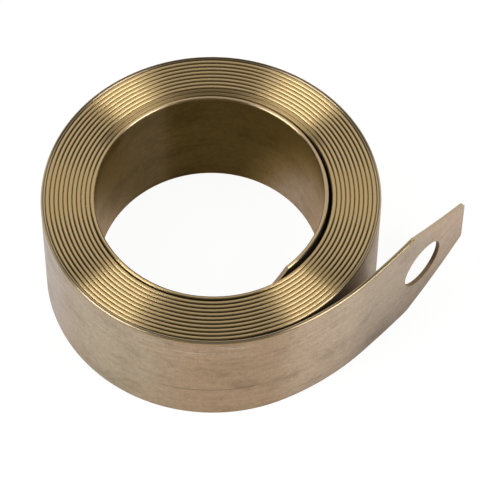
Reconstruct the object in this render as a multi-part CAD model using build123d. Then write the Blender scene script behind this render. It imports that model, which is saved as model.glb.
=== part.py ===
"""Constant force spring: one long steel strip, wound on itself and left to spring back to its coil.

The strip stands on its edge. Origin: the axis of the drum that the inner turn closes on, at the
height of the lower edges. +Z runs along the drum axis, and the free tail swings round the +X side.
"""
from build123d import *
import os
from math import cos, degrees, radians, sin

# The flat strip, in millimetres
WIDTH = 25.0
THICKNESS = 0.75
TIP_CORNER_RADIUS = 0.8     # at both ends

# The coil: seen from above it winds inward clockwise from the point where the tail leaves
COIL_RADIUS = 31.35         # outer wall of the outermost half turn
TURN_PITCH = 0.815          # radial step of one turn: the strip and the air beside it
COIL_HALF_TURNS = 23        # those before the sprung one
LEAVE_ANGLE = -64.8         # degrees from +X, counter-clockwise

# The innermost half turn, sprung inward onto the drum
DRUM_RADIUS = 21.0
SPRUNG_SWEEP = 183.0        # degrees
INNER_END_WIDTH = 10.5
INNER_TAPER = 7.25          # corners cut at 45 degrees

# The tail that is pulled out and fastened
TAIL_BEND_RADII = (51.0, 214.0)     # outer wall, opening out toward the tip
TAIL_BEND_LENGTHS = (17.9, 28.5)
TAIL_END_WIDTH = 10.5
TAIL_TAPER = 16.5
HOLE_DIAMETER = 10.0
HOLE_FROM_END = 12.5

# Until its ends are trimmed, the strip runs on past them by this much
TRIM_ALLOWANCE = 2.0
TRIM_DEPTH = 3.0            # of a trimming cut, to either side of the strip's outer wall


def polar(radius, angle):
    """Point in plan at this radius and at this angle in degrees."""
    return Vector(radius * cos(radians(angle)), radius * sin(radians(angle)))


def at_mid_height(point):
    return point + Vector(0, 0, WIDTH / 2)


def facing(origin, outward_angle, onward):
    """Plane laid against the strip: X runs on along it, counter-clockwise if onward is 1 and
    clockwise if it is -1, and Z is its outward normal."""
    onward_dir = polar(1, outward_angle + 90 * onward)
    return Plane(origin=origin, x_dir=onward_dir, z_dir=polar(1, outward_angle))


def bend(centre, radius, start, sweep):
    """Stretch of strip bent about one centre, as the arcs of its outer and inner walls."""
    outer = CenterArc(centre, radius, start, sweep)
    inner = CenterArc(centre, radius - THICKNESS, start, sweep)
    return outer, inner


def standing_strip(bends):
    """Strip of full width along bends that follow each other tangentially."""
    outers = [outer for outer, _ in bends]
    inners = [inner for _, inner in bends]
    ends = [
        Line(outers[0] @ 0, inners[0] @ 0),
        Line(outers[-1] @ 1, inners[-1] @ 1),
    ]
    return extrude(make_face(outers + inners + ends), WIDTH)


def trimmed(strip, tip, taper, end_width, corner_radius):
    """Strip with its end tapered at this plane, which lies against its outer wall at the tip."""
    half, half_end = WIDTH / 2, end_width / 2
    kept = make_face(Polyline(
        (-taper, -half), (0, -half_end), (0, half_end), (-taper, half),
        close=True,
    ))
    kept = fillet(kept.vertices().group_by(Axis.X)[-1], corner_radius)
    offcut = Rectangle(taper + 2 * TRIM_ALLOWANCE, WIDTH + 2 * TRIM_ALLOWANCE)
    offcut = Pos(TRIM_ALLOWANCE - taper / 2, 0) * offcut - kept
    return strip - extrude(tip * offcut, TRIM_DEPTH, both=True)


def coil_centres():
    """The two centres that the half turns take by turns, a quarter pitch to either side of the
    coil's own axis, placed so that the sprung half turn is centred on the drum axis."""
    inward = polar(1, LEAVE_ANGLE + 180)
    innermost_radius = COIL_RADIUS - (COIL_HALF_TURNS - 1) * TURN_PITCH / 2
    first = inward * (DRUM_RADIUS + THICKNESS - innermost_radius)
    return first, first + inward * (TURN_PITCH / 2)


def coil():
    """The close turns: half turns on two centres, so that the gap between turns stays the same."""
    centres = coil_centres()
    bends = []
    for half_turn in range(COIL_HALF_TURNS):
        side = half_turn % 2
        radius = COIL_RADIUS - half_turn * TURN_PITCH / 2
        bends.append(bend(centres[side], radius, LEAVE_ANGLE + 180 * side, -180))
    return standing_strip(bends)


def sprung_turn():
    """The innermost half turn: tighter than the coil, so that it stands off its neighbour toward
    its clipped end."""
    radius = DRUM_RADIUS + THICKNESS
    start = LEAVE_ANGLE + 180
    end = start - SPRUNG_SWEEP
    sweep = SPRUNG_SWEEP + degrees(TRIM_ALLOWANCE / radius)
    strip = standing_strip([bend((0, 0), radius, start, -sweep)])
    tip = facing(at_mid_height(polar(radius, end)), end, -1)
    return trimmed(strip, tip, INNER_TAPER, INNER_END_WIDTH, TIP_CORNER_RADIUS)


def tail():
    """The tail: it leaves the coil tangentially and opens out to a tapered, pierced end."""
    first_radius, last_radius = TAIL_BEND_RADII
    first_sweep, last_sweep = (degrees(s / r) for s, r in zip(TAIL_BEND_LENGTHS, TAIL_BEND_RADII))
    first_centre = coil_centres()[0] + polar(COIL_RADIUS - first_radius, LEAVE_ANGLE)
    middle = LEAVE_ANGLE + first_sweep
    last_centre = first_centre + polar(first_radius - last_radius, middle)
    end = middle + last_sweep
    strip = standing_strip([
        bend(first_centre, first_radius, LEAVE_ANGLE, first_sweep),
        bend(last_centre, last_radius, middle, last_sweep + degrees(TRIM_ALLOWANCE / last_radius)),
    ])
    tip = facing(at_mid_height(last_centre + polar(last_radius, end)), end, 1)
    strip = trimmed(strip, tip, TAIL_TAPER, TAIL_END_WIDTH, TIP_CORNER_RADIUS)
    at_hole = end - degrees(HOLE_FROM_END / last_radius)
    hole_side = facing(at_mid_height(last_centre + polar(last_radius, at_hole)), at_hole, 1)
    return strip - extrude(hole_side * Circle(HOLE_DIAMETER / 2), TRIM_DEPTH, both=True)


os.makedirs("parts", exist_ok=True)
spring_strip = coil() + sprung_turn() + tail()
export_step(spring_strip, "parts/spring_strip.step")
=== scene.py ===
from math import atan2, cos, pi, radians, sin, tan

import bpy
from mathutils import Matrix, Vector


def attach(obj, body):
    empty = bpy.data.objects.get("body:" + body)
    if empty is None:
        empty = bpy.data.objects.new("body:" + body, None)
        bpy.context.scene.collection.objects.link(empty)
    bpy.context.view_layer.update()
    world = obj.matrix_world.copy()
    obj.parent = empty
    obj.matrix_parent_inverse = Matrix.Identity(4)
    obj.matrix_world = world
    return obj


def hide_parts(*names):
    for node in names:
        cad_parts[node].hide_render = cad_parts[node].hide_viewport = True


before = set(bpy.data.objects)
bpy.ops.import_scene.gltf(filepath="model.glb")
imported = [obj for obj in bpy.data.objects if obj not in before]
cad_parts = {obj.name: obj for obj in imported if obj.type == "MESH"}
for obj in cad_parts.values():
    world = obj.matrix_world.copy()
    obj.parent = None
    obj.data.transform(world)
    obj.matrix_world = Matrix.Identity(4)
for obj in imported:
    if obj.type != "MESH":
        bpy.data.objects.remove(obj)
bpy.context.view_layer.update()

# ------------------------------------------------------------------------------------------
# The strip. Hardened stainless steel, cold rolled and slit to width, then tempered until it
# turned brown. While it is flat its ends are clipped and the outer one is punched; then it is
# wound up, and its innermost half turn springs inward onto the drum.
# ------------------------------------------------------------------------------------------

MM = 0.001
TOUCHING = MM / 100
WIDTH = 25.0 * MM
THICKNESS = 0.79 * MM           # the turns all but touch
SLIT_ROUNDING = 0.30 * MM       # of the long edges
CLIPPED_ROUNDING = 0.07 * MM    # of the edges round the hole and the clipped ends
ROUNDING_FACETS = 4
TIP_CORNER = 0.8 * MM
TIP_CORNER_FACETS = 6
HOLE_RADIUS = 5.0 * MM
HOLE_FACETS = 72
HOLE_FROM_TIP = 12.5 * MM

# What is clipped off each corner of the inner end and of the tail: along and across the strip
INNER_CLIP = (7.25 * MM, 7.25 * MM)
TAIL_CLIP = (16.5 * MM, 7.25 * MM)

# Every bend from the inner end to the tail's tip, as the outer wall's radius and the turn
INNER_END_ANGLE = radians(-67.8)
SPRUNG_HALF_TURN = (21.55 * MM, radians(183.0))
SPRUNG_CENTRE = Vector((-0.085, 0.181, 0)) * MM
COIL_RADIUS = 31.35 * MM
HALF_TURNS = 23
HALF_TURN_GROWTH = 0.4075 * MM
TAIL_BENDS = ((51.0 * MM, radians(20.1096)), (214.0 * MM, radians(7.6305)))
coil_bends = [(COIL_RADIUS - inward * HALF_TURN_GROWTH, pi) for inward in range(HALF_TURNS)]
bends = [SPRUNG_HALF_TURN, *reversed(coil_bends), *TAIL_BENDS]
strip_length = sum(radius * turn for radius, turn in bends)


def edit(piece, mode, wanted=None):
    """Opens a mesh for editing with the vertices or edges that are wanted selected, or all."""
    bpy.context.view_layer.objects.active = piece
    bpy.ops.object.mode_set(mode="EDIT")
    bpy.ops.mesh.select_mode(type=mode)
    bpy.ops.mesh.select_all(action="DESELECT" if wanted else "SELECT")
    if wanted:
        bpy.ops.object.mode_set(mode="OBJECT")
        for part in piece.data.edges if mode == "EDGE" else piece.data.vertices:
            part.select = wanted(part)
        bpy.ops.object.mode_set(mode="EDIT")


def apply_modifier(piece, kind, **settings):
    """Gives a piece a modifier with these settings, and applies it."""
    bpy.context.view_layer.objects.active = piece
    modifier = piece.modifiers.new(kind, kind)
    for name, value in settings.items():
        setattr(modifier, name, value)
    bpy.ops.object.modifier_apply(modifier=modifier.name)


# The blank, flat: X runs along it from the inner end, Z across it, and the wall that will face
# outward lies in Y = 0
bpy.ops.object.select_all(action="DESELECT")
bpy.ops.mesh.primitive_cube_add(size=1, location=(strip_length / 2, THICKNESS / 2, WIDTH / 2),
                                scale=(strip_length, THICKNESS, WIDTH))
strip = bpy.context.object
strip.name = "wound_strip"
bpy.ops.object.transform_apply(location=True, rotation=False, scale=True)


def ends(edge):
    return [strip.data.vertices[i].co for i in edge.vertices]


def runs_along(edge):
    a, b = ends(edge)
    return abs(a.x - b.x) > MM


# Divided twice over along its length, finely enough to be wound
CUTS = 35
for _ in range(2):
    edit(strip, "EDGE", runs_along)
    bpy.ops.mesh.subdivide(number_cuts=CUTS)
    bpy.ops.object.mode_set(mode="OBJECT")

# The corners clipped off, and the clipped ends' own corners taken off round
for tip_x, outward, (along, across) in ((0, -1, INNER_CLIP), (strip_length, 1, TAIL_CLIP)):
    for side_z, upward in ((0, -1), (WIDTH, 1)):
        edit(strip, "VERT")
        bpy.ops.mesh.bisect(
            plane_co=(tip_x - outward * along, 0, side_z),
            plane_no=Vector((outward * across, 0, upward * along)).normalized(),
            use_fill=True, clear_outer=True, threshold=TOUCHING / 100,
        )
        bpy.ops.object.mode_set(mode="OBJECT")

    def through_tip(edge):
        a, b = ends(edge)
        return max(abs(a.x - tip_x), abs(b.x - tip_x), abs(a.z - b.z)) < TOUCHING

    edit(strip, "EDGE", through_tip)
    bpy.ops.mesh.bevel(
        offset=TIP_CORNER * tan(atan2(along, across) / 2), segments=TIP_CORNER_FACETS)
    bpy.ops.object.mode_set(mode="OBJECT")

# The hole
bpy.ops.object.select_all(action="DESELECT")
bpy.ops.mesh.primitive_cylinder_add(
    vertices=HOLE_FACETS, radius=HOLE_RADIUS, depth=4 * THICKNESS, rotation=(pi / 2, 0, 0),
    location=(strip_length - HOLE_FROM_TIP, THICKNESS / 2, WIDTH / 2),
)
punch = bpy.context.object
apply_modifier(strip, "BOOLEAN", object=punch, operation="DIFFERENCE", solver="EXACT")
bpy.data.objects.remove(punch)

# The edges broken: well rounded where the strip was slit, barely where it was clipped
wall_edges, side_edges = set(), set()
for face in strip.data.polygons:
    is_wall = abs(face.normal.y) > 0.5
    (wall_edges if is_wall else side_edges).update(face.edge_keys)
breaking = strip.data.attributes.new("bevel_weight_edge", "FLOAT", "EDGE")
for edge in strip.data.edges:
    if edge.key in wall_edges and edge.key in side_edges:
        from_side = max(min(point.z, WIDTH - point.z) for point in ends(edge))
        is_slit = from_side < TOUCHING
        breaking.data[edge.index].value = 1 if is_slit else CLIPPED_ROUNDING / SLIT_ROUNDING
apply_modifier(strip, "BEVEL", width=SLIT_ROUNDING, segments=ROUNDING_FACETS,
               limit_method="WEIGHT", use_clamp_overlap=False)

# Which finish each facet gets, numbered in the order in which the finishes are made below
OUTER_FACE, INNER_FACE, SLIT_EDGE, CLIPPED_EDGE = range(4)
finishes = []
for facet in strip.data.polygons:
    is_flat_wall = abs(facet.normal.y) > 0.999
    if is_flat_wall:
        finishes.append(OUTER_FACE if facet.normal.y < 0 else INNER_FACE)
    else:
        from_side = min(facet.center.z, WIDTH - facet.center.z)
        finishes.append(SLIT_EDGE if from_side < SLIT_ROUNDING else CLIPPED_EDGE)

# The map that the finish follows once the strip is wound: along it, and into its thickness
along_strip = strip.data.uv_layers.new(name="along_strip")
for loop in strip.data.loops:
    x, y, _ = strip.data.vertices[loop.vertex_index].co
    along_strip.data[loop.index].uv = (x, y)


def eased(value, start, full, fading, end):
    """0 outside start and end, 1 from full to fading, and smooth climbs between them."""
    def climb(low, high):
        share = min(max((value - low) / (high - low), 0), 1)
        return share * share * (3 - 2 * share)

    return climb(start, full) * (1 - climb(fading, end))


# The free end stands slightly askew, its upper edge further out, and the turn at the front of
# the hollow stands a little off the next one
TAIL_LEAN = 0.3 * MM
LEANING = (0, 24 * MM, 44 * MM, 62 * MM)                    # from the tail's tip
STAND_OFF = 0.22 * MM
STANDING_OFF = (92 * MM, 118 * MM, 128 * MM, 146 * MM)      # from the inner end
for vertex in strip.data.vertices:
    along = vertex.co.x
    lean = TAIL_LEAN * eased(strip_length - along, *LEANING)
    off = STAND_OFF * eased(along, *STANDING_OFF)
    vertex.co.y += off - lean * vertex.co.z / WIDTH

# The line that the outer wall is wound on, drawn bend by bend from the inner end
LINE_STEP = radians(1.5)
facing = INNER_END_ANGLE
centre = SPRUNG_CENTRE.copy()
reach = SPRUNG_HALF_TURN[0]
bpy.ops.object.select_all(action="DESELECT")
bpy.ops.mesh.primitive_plane_add(
    size=MM, location=centre + reach * Vector((cos(facing), sin(facing), 0)))
line = bpy.context.object
edit(line, "VERT")
bpy.ops.mesh.merge(type="CENTER")
for radius, turn in bends:
    centre += (reach - radius) * Vector((cos(facing), sin(facing), 0))
    bpy.ops.mesh.spin(steps=round(turn / LINE_STEP), angle=-turn, center=centre, axis=(0, 0, 1))
    facing += turn
    reach = radius
bpy.ops.object.mode_set(mode="OBJECT")
bpy.ops.object.transform_apply()
bpy.ops.object.convert(target="CURVE")
line.data.twist_mode = "Z_UP"

# The strip wound up, and shaded smooth except where it turns a sharp corner
SHARPEST_SMOOTH = radians(35)
apply_modifier(strip, "CURVE", object=line, deform_axis="POS_X")
bpy.data.objects.remove(line)
bpy.ops.object.select_all(action="DESELECT")
strip.select_set(True)
bpy.ops.object.shade_smooth_by_angle(angle=SHARPEST_SMOOTH)
apply_modifier(strip, "WEIGHTED_NORMAL", keep_sharp=True)

# The brushing runs round the coil's axis
strip.data.use_auto_texspace = False
strip.data.texspace_location = (0, 0, WIDTH / 2)
strip.data.texspace_size = (2 * COIL_RADIUS, 2 * COIL_RADIUS, WIDTH)


class Signal:
    """A socket of a material that is being made. Sums, differences and products of signals, or
    of signals and numbers, add the Math nodes that work them out."""

    def __init__(self, tree, socket=None):
        self.tree = tree
        self.socket = socket

    def node(self, kind, settings=None, inputs=None, output=0):
        """Adds a node, sets it, fills or links its inputs, and gives one of its outputs."""
        added = self.tree.nodes.new("ShaderNode" + kind)
        for name, value in (settings or {}).items():
            if name == "stops":
                while len(added.color_ramp.elements) < len(value):
                    added.color_ramp.elements.new(0.5)
                for stop, (place, colour) in zip(added.color_ramp.elements, value):
                    stop.position = place
                    stop.color = colour
            else:
                setattr(added, name, value)
        for name, value in (inputs or {}).items():
            if isinstance(value, Signal):
                self.tree.links.new(value.socket, added.inputs[name])
            else:
                added.inputs[name].default_value = value
        return Signal(self.tree, added.outputs[output] if added.outputs else None)

    def maths(self, operation, *values):
        return self.node("Math", {"operation": operation}, dict(enumerate(values)))

    def part(self, axis):
        """The X, Y or Z of a vector."""
        return self.node("SeparateXYZ", None, {0: self}, output=axis)

    def __abs__(self):
        return self.maths("ABSOLUTE", self)

    def __add__(self, other):
        return self.maths("ADD", self, other)

    def __sub__(self, other):
        return self.maths("SUBTRACT", self, other)

    def __rsub__(self, other):
        return self.maths("SUBTRACT", other, self)

    def __mul__(self, other):
        return self.maths("MULTIPLY", self, other)

    __radd__ = __add__
    __rmul__ = __mul__


def step(signal, low, high):
    """0 below low, 1 above high, and a smooth climb between them."""
    return signal.node("MapRange", {"interpolation_type": "SMOOTHSTEP"},
                       {"Value": signal, "From Min": low, "From Max": high})


def band(signal, start, full, fading, end):
    """0 outside start and end, 1 from full to fading, and smooth climbs between them."""
    return step(signal, start, full) * (1 - step(signal, fading, end))


def mixed(share, first, second):
    """Two colours mixed by a share of the second."""
    return share.node("Mix", {"data_type": "RGBA"}, {0: share, 6: first, 7: second}, output=2)


def shaded(colour, share):
    """A colour darkened by this share."""
    return mixed(share, colour, (0, 0, 0, 1))


class Steel:
    """A material for the strip. It knows, in metres, how far along the strip, how deep in its
    thickness and how high up its width a point lies, and how far from the coil's axis to either
    side and to the back."""

    def __init__(self, name):
        self.material = bpy.data.materials.new(name)
        self.material.use_nodes = True
        self.material.node_tree.nodes.clear()
        self.sheet = Signal(self.material.node_tree)
        unwound = self.sheet.node("UVMap", {"uv_map": "along_strip"})
        self.along = unwound.part("X")
        self.deep = unwound.part("Y")
        self.to_tip = strip_length - self.along
        wound = self.sheet.node("TexCoord", output="Object")
        self.beside = abs(wound.part("X"))
        self.behind = wound.part("Y")
        self.high = wound.part("Z")

    def grain(self, length, across, detail=1.0, start=0.0):
        """Noise in cells of this length along the strip and this size across it."""
        cells = self.sheet.node("CombineXYZ", None, {
            "X": self.along * (1 / length) + start,
            "Y": self.high * (1 / across),
            "Z": self.deep * (1 / across),
        })
        return self.sheet.node("TexNoise", None, {"Vector": cells, "Scale": 1.0, "Detail": detail})

    def finish(self, colour, roughness, relief, anisotropy, grazing=(1, 1, 1, 1)):
        """Makes the surface, with its relief a few microns deep, and gives it to the strip."""
        bump = self.sheet.node("Bump", None, {"Height": relief, "Distance": 0.004 * MM})
        surface = self.sheet.node("BsdfPrincipled", None, {
            "Base Color": colour, "Metallic": 1.0, "Roughness": roughness, "Normal": bump,
            "Anisotropic": anisotropy, "Anisotropic Rotation": 0.25, "Specular Tint": grazing,
        })
        self.sheet.node("OutputMaterial", None, {"Surface": surface})
        strip.data.materials.append(self.material)


def roll(steel, colour, grazing):
    """Finishes a face as it leaves the mill, with lines along it, fine brushing and mottling,
    and as handling leaves it, with smudges and scratches."""
    lines = steel.grain(90 * MM, 0.7 * MM, 3.0)
    brushing = steel.grain(9 * MM, 0.10 * MM, 2.0, start=3.7)
    mottling = steel.grain(1.3 * MM, 1.2 * MM, 2.0, start=6.4)
    speckle = steel.grain(0.42 * MM, 0.5 * MM, 1.0, start=9.5)
    smudge = step(steel.grain(9 * MM, 6 * MM, 4.0, start=1.3), 0.45, 0.75)
    scratch = step(steel.grain(30 * MM, 0.35 * MM, 0.0, start=8.2), 0.80, 0.84)
    worn = step(lines, 0.40, 0.72)
    dark = (worn * 0.09 + brushing * 0.09 + mottling * 0.30 + speckle * 0.28 + smudge * 0.12
            + scratch * 0.2)
    steel.finish(
        colour=shaded(colour, dark), roughness=0.38 + smudge * 0.06 - worn * 0.05,
        relief=brushing * 0.4 + lines * 0.5 + mottling - scratch, anisotropy=0.6, grazing=grazing,
    )


strip.data.materials.clear()

# The outer face: from the light tip its heat tint goes between straw and a pinkish grey, then
# through a patchy olive stretch at the front and a pale one at the side to tan round the back
TINT_WAVE = 80 * MM
STRAW = (0.625, 0.43, 0.265, 1)
PINKISH_GREY = (0.74, 0.585, 0.44, 1)
OLIVE = (0.68, 0.59, 0.42, 1)
PALE = (0.82, 0.73, 0.68, 1)
TAN = (0.82, 0.68, 0.54, 1)
LIGHT_TIP = (0.82, 0.61, 0.44, 1)
SCUFFED_STEEL = (0.90, 0.76, 0.60, 1)
BRIGHT_STEEL = (0.95, 0.74, 0.54, 1)

outer = Steel("outer_face")
wave = outer.sheet.maths("SINE", outer.to_tip * (2 * pi / TINT_WAVE) - pi) * 0.5 + 0.5
golden = step(wave * 0.75 + outer.grain(45 * MM, 25 * MM) * 0.5, 0.3, 0.9)
tint = mixed(golden, PINKISH_GREY, STRAW)
tint = mixed(step(outer.to_tip, 8 * MM, 14 * MM), LIGHT_TIP, tint)

# Where the tail leaves the coil it is worn bright, and the coil beside that is scuffed near the
# top
scuffed = (
    step(outer.grain(8 * MM, 0.35 * MM, 2.0, start=4.4), 0.52, 0.62)
    * band(outer.high, 17 * MM, 22 * MM, 23.5 * MM, 24.6 * MM)
    * band(outer.to_tip, 50 * MM, 56 * MM, 74 * MM, 82 * MM)
)
tint = mixed(scuffed * 0.5, tint, SCUFFED_STEEL)
worn_bright = band(outer.to_tip, 26 * MM, 34 * MM, 42 * MM, 50 * MM)
tint = mixed(worn_bright * 0.45, tint, BRIGHT_STEEL)
olive = band(outer.to_tip, 62 * MM, 74 * MM, 84 * MM, 92 * MM)
patchy = outer.grain(5 * MM, 6 * MM, 2.0, start=7.7) * 0.9
tint = mixed(olive * patchy, tint, OLIVE)
pale = band(outer.to_tip, 88 * MM, 98 * MM, 115 * MM, 135 * MM)
tint = mixed(pale * 0.6, tint, PALE)
tint = mixed(step(outer.to_tip, 150 * MM, 200 * MM), tint, TAN)

# It is darker along a wavering scratch round the front, and painted shade darkens it low down on
# the tail, along its lowest edge by the table, and behind the tail, where the tail shadows it
SCRATCH_HEIGHT = 8.6 * MM
painted_shade_low_on_tail = (1 - step(outer.high, 0, 15 * MM)) * (1 - step(outer.to_tip, 24 * MM, 42 * MM))
waver = outer.sheet.maths("SINE", outer.to_tip * (1 / (9 * MM))) * (0.25 * MM)
off_scratch = abs(outer.high + waver - SCRATCH_HEIGHT)
scratched = (1 - step(off_scratch, 0.08 * MM, 0.3 * MM)) * (
    band(outer.to_tip, 48 * MM, 54 * MM, 66 * MM, 74 * MM))
painted_shade_at_foot = 1 - step(outer.high, 0.1 * MM, 0.6 * MM)
painted_tail_shadow = step(outer.to_tip, 222 * MM, 236 * MM)
darker = painted_shade_low_on_tail * 0.30 + scratched * 0.3 + painted_shade_at_foot * 0.45 + painted_tail_shadow * 0.4
roll(outer, shaded(tint, darker), grazing=(1, 0.97, 0.93, 1))

# The inner face: it keeps its tempering tint where the sprung half turn joins the coil, at the
# back of the hollow, amber round a middle that painted shade makes dark brown. Further off it is
# bare steel, and sooner so low down, where a painted reflection of the lit table lightens it.
# One patch near the top is darker, and painted shade darkens the inner side of the tail.
TINT_MIDDLE = 66 * MM       # from the inner end
# The brown is the tint darkened with painted shade
PAINTED_SHADE_BROWN = (0.145, 0.095, 0.03, 1)
AMBER = (0.38, 0.255, 0.105, 1)
DULL_AMBER = (0.41, 0.31, 0.22, 1)
BARE_STEEL = (0.68, 0.54, 0.43, 1)

inner = Steel("inner_face")
# Bare steel away from the middle, with a painted reflection that lightens it low down
bare_and_painted_reflection = step(abs(inner.along - TINT_MIDDLE) * (1.47 - inner.high * 34), 12 * MM, 39 * MM)
past_middle = step(inner.along, 62 * MM, 74 * MM)
lighter = band(inner.along, 65 * MM, 70 * MM, 77 * MM, 88 * MM) * 0.20
amber = mixed(past_middle, AMBER, DULL_AMBER)
tint_and_painted_light = mixed(step(bare_and_painted_reflection + lighter, 0.0, 0.60), PAINTED_SHADE_BROWN, amber)
tint_and_painted_light = mixed(step(bare_and_painted_reflection + past_middle * 0.15, 0.35, 1.0), tint_and_painted_light, BARE_STEEL)
dark_patch_near_top = step(inner.high, 20.5 * MM, 24 * MM) * (
    band(inner.along, 76 * MM, 81 * MM, 90 * MM, 98 * MM))
# Painted shade on the inner side of the tail
painted_shade_in_tail_gap = 1 - step(inner.to_tip, 60 * MM, 120 * MM)
roll(inner, shaded(tint_and_painted_light, dark_patch_near_top * 0.6 + painted_shade_in_tail_gap * 0.4), grazing=(0.95, 0.77, 0.53, 1))

# The slit edges: drawn bright along the crown, less so at the corners, with a dark tint in the
# clefts between turns that doubles as painted shade there, less of it at the sides. A painted
# highlight makes the crown brightest at the front, at the back and part way round from the sides,
# and the corners are lightest on the outermost and innermost turns.
CROWN = (0.78, 0.55, 0.27, 1)
PAINTED_HIGHLIGHT_CROWN = (0.89, 0.64, 0.33, 1)
OUTERMOST_CROWN = (0.72, 0.53, 0.29, 1)
CORNER = (0.64, 0.50, 0.25, 1)
LIGHT_CORNER = (0.74, 0.61, 0.42, 1)
CLEFT_TINT_AND_SHADE = (0.40, 0.24, 0.05, 1)

slit = Steel("slit_edge")
below_crown = slit.sheet.maths("MINIMUM", slit.high, WIDTH - slit.high)
shoulder = step(below_crown, 0.004 * MM, 0.03 * MM)
cleft = step(below_crown, 0.08 * MM, 0.22 * MM)
outermost = 1 - step(slit.to_tip, 215 * MM, 245 * MM)
innermost = 1 - step(slit.along, 78 * MM, 86 * MM)
# Where round the coil the crown takes its painted highlight and the edges their painted shade
round_from_side = slit.sheet.maths("ARCTAN2", abs(slit.behind), slit.beside)
less_painted_shade_at_side = 1 - step(round_from_side, radians(3), radians(15))
painted_zone_part_way = (1 - outermost) * (
    band(round_from_side, radians(8), radians(18), radians(33), radians(42)))
painted_zone_front_or_back = (1 - outermost) * step(round_from_side, radians(60), radians(70))
crown = mixed(outermost, CROWN, OUTERMOST_CROWN)
crown = mixed(painted_zone_part_way + painted_zone_front_or_back, crown, PAINTED_HIGHLIGHT_CROWN)
corner = mixed(innermost + outermost, CORNER, LIGHT_CORNER)
edge_colour_with_painted_light = mixed(cleft * (1 - less_painted_shade_at_side * 0.6), mixed(shoulder, crown, corner), CLEFT_TINT_AND_SHADE)

# Some of it is duller: the back of the turns, which have a dark seam down their middle there, as
# the outermost turn has all round. Painted shade darkens the foremost part on both sides, the
# corners at the front and part way round, and the inner corner of the turn that stands off at the
# front of the hollow
inner_back = step(slit.behind, 9 * MM, 14 * MM) * (
    band(slit.along, 78 * MM, 86 * MM, 375 * MM, 400 * MM))
outer_back = step(slit.behind, 5 * MM, 12 * MM) * outermost
off_middle = abs(slit.deep - THICKNESS / 2)
seam = (outermost + inner_back * 0.5) * (1 - step(off_middle, 0.05 * MM, 0.13 * MM))
# Painted shade on the foremost part on both sides
painted_shade_front_sides = (1 - step(slit.behind, -19 * MM, -12 * MM)) * step(slit.beside, 6 * MM, 12 * MM)
painted_shade_in_front = (1 - step(slit.behind, -12 * MM, -6 * MM)) * painted_zone_front_or_back
painted_shade_on_shoulders = (painted_zone_part_way * 0.36 + painted_shade_in_front * 0.25) * shoulder
# Painted shade on the inner corner of the turn that stands off
painted_shade_on_rim = step(slit.deep, 0.50 * MM, 0.58 * MM) * (
    band(slit.along, 92 * MM, 118 * MM, 134 * MM, 142 * MM))
lines = slit.grain(15 * MM, 0.07 * MM, 2.0)
nick = step(slit.grain(0.6 * MM, 0.5 * MM, 1.0, start=5.1), 0.76, 0.80)
duller = (lines * 0.16 + seam * 0.6 + painted_shade_on_rim * 0.7 + inner_back * 0.06 + painted_shade_front_sides * 0.17
          + outer_back * 0.3 + painted_shade_on_shoulders)
slit.finish(
    colour=shaded(edge_colour_with_painted_light, duller),
    roughness=0.31 - cleft * 0.08 + outermost * 0.03 + inner_back * 0.30 + nick * 0.1,
    relief=lines * 0.4 - nick * 0.3, anisotropy=1.0, grazing=(0.9, 0.66, 0.34, 1),
)

# The clipped edges and the wall of the hole: sheared, matt, and nearly as light as the faces,
# but darker in the hole and at the inner end, a tint that is also painted shade there
SHEARED = (0.80, 0.63, 0.44, 1)
TINT_AND_PAINTED_SHADE = (0.36, 0.24, 0.13, 1)

clipped = Steel("clipped_edge")
# Tint and painted shade in the hole and at the inner end
in_hole = step(clipped.to_tip, 4 * MM, 6 * MM) * (
    1 - step(abs(clipped.high - WIDTH / 2), HOLE_RADIUS + 0.2 * MM, HOLE_RADIUS + 0.6 * MM))
inner_end = 1 - step(clipped.along, 10 * MM, 12 * MM)
sheared = mixed(in_hole + inner_end * 0.7, SHEARED, TINT_AND_PAINTED_SHADE)
clipped.finish(
    colour=shaded(sheared, clipped.grain(0.3 * MM, 0.3 * MM, 2.0) * 0.3),
    roughness=0.5 + clipped.grain(1.2 * MM, 0.2 * MM) * 0.1,
    relief=clipped.grain(2 * MM, 0.06 * MM), anisotropy=0.0,
)
for facet, finish in zip(strip.data.polygons, finishes):
    facet.material_index = finish

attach(strip, "root")
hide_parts("spring_strip")

# ------------------------------------------------------------------------------------------
# The table: a white sheet that the spring stands on. It reads white to the eye and in the
# polished metal, and only the spring's own shadow greys it.
# ------------------------------------------------------------------------------------------

TABLE_SIZE = 3.0
bpy.ops.object.select_all(action="DESELECT")
bpy.ops.mesh.primitive_plane_add(size=TABLE_SIZE, location=(0, 0, 0))
table = bpy.context.object
table.name = "table"
white = bpy.data.materials.new("white_sheet")
white.use_nodes = True
white.node_tree.nodes.clear()
paper = Signal(white.node_tree)

# To the eye it glows nearly white over a dark grey, which is all that a shadow can take away
seen = paper.node("LightPath", output="Is Camera Ray")
seen += paper.node("LightPath", output="Is Transmission Ray")
mirrored = paper.node("LightPath", output="Is Glossy Ray")
level = 0.8 - seen * 0.67
grey = paper.node("CombineColor", None, {"Red": level, "Green": level, "Blue": level})
lit = paper.node("BsdfDiffuse", None, {"Color": grey})
lift = paper.node("Emission", None, {
    "Color": (1, 1, 1, 1), "Strength": seen * 0.92 + mirrored * 0.3,
})
both = paper.node("AddShader", None, {0: lit, 1: lift})
paper.node("OutputMaterial", None, {"Surface": both})
table.data.materials.append(white)

# ------------------------------------------------------------------------------------------
# The studio: two softboxes overhead, left and right and a little to the front, in a room that
# is dim in front and overhead and lighter toward the back.
# ------------------------------------------------------------------------------------------

SOFTBOX_DISTANCE = 0.9
SOFTBOX_LENGTH = 0.72
SOFTBOX_TURN = radians(15)
SIDEWAYS = 0.642
UP = 0.741
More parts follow.
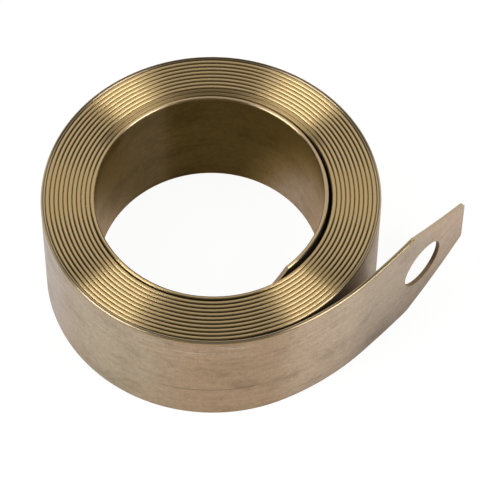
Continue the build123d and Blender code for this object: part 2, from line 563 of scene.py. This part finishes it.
# Which side of the spring each is on, how far to the front, its width and its power
SOFTBOXES = ((-1, 0.280, 0.42, 4.30), (1, 0.305, 0.34, 3.44))
for side, to_front, width, power in SOFTBOXES:
    direction = Vector((side * SIDEWAYS, -to_front, UP)).normalized()
    box = bpy.data.lights.new("softbox", "AREA")
    box.shape = "RECTANGLE"
    box.size = width
    box.size_y = SOFTBOX_LENGTH
    box.energy = power
    holder = bpy.data.objects.new("softbox", box)
    bpy.context.scene.collection.objects.link(holder)
    holder.matrix_world = (
        Matrix.Translation(direction * SOFTBOX_DISTANCE)
        @ direction.to_track_quat("Z", "Y").to_matrix().to_4x4()
        @ Matrix.Rotation(-side * SOFTBOX_TURN, 4, "Z")
    )

# How light the room is, from its front at 0 to its back at 1
ROOM_LIGHT = ((0.50, 0.06), (0.62, 0.40), (0.73, 0.68), (0.80, 0.68), (0.88, 0.62), (1.0, 0.62))
room = bpy.data.worlds.new("room")
bpy.context.scene.world = room
room.use_nodes = True
room.node_tree.nodes.clear()
air = Signal(room.node_tree)
to_back = air.node("TexCoord", output="Generated").part("Y") * 0.5 + 0.5
stops = [(place, (light, light, light, 1)) for place, light in ROOM_LIGHT]
shade = air.node("ValToRGB", {"stops": stops}, {0: to_back})
glow = air.node("Background", None, {"Color": shade, "Strength": 1.0})
air.node("OutputWorld", None, {"Surface": glow})

# ------------------------------------------------------------------------------------------
# The camera: a long lens about 0.6 m away, which looks down over the front of the coil, so that
# the hollow and the tail both show. It is rolled by a fraction of a degree.
# ------------------------------------------------------------------------------------------

AIM = Vector((5.335, 5.860, 0)) * MM
RANGE = 600.33 * MM
ELEVATION = radians(57.51)
ROLL = radians(0.656)
FOCAL_LENGTH = 237.0        # in millimetres, as Blender counts it
NEAREST = 0.05
lens = bpy.data.cameras.new("camera")
lens.lens = FOCAL_LENGTH
lens.clip_start = NEAREST
camera = bpy.data.objects.new("camera", lens)
bpy.context.scene.collection.objects.link(camera)
camera.matrix_world = (
    Matrix.Translation(AIM)
    @ Matrix.Rotation(pi / 2 - ELEVATION, 4, "X")
    @ Matrix.Rotation(ROLL, 4, "Z")
    @ Matrix.Translation((0, 0, RANGE))
)
bpy.context.scene.camera = camera
bpy.context.scene.view_settings.view_transform = "Standard"
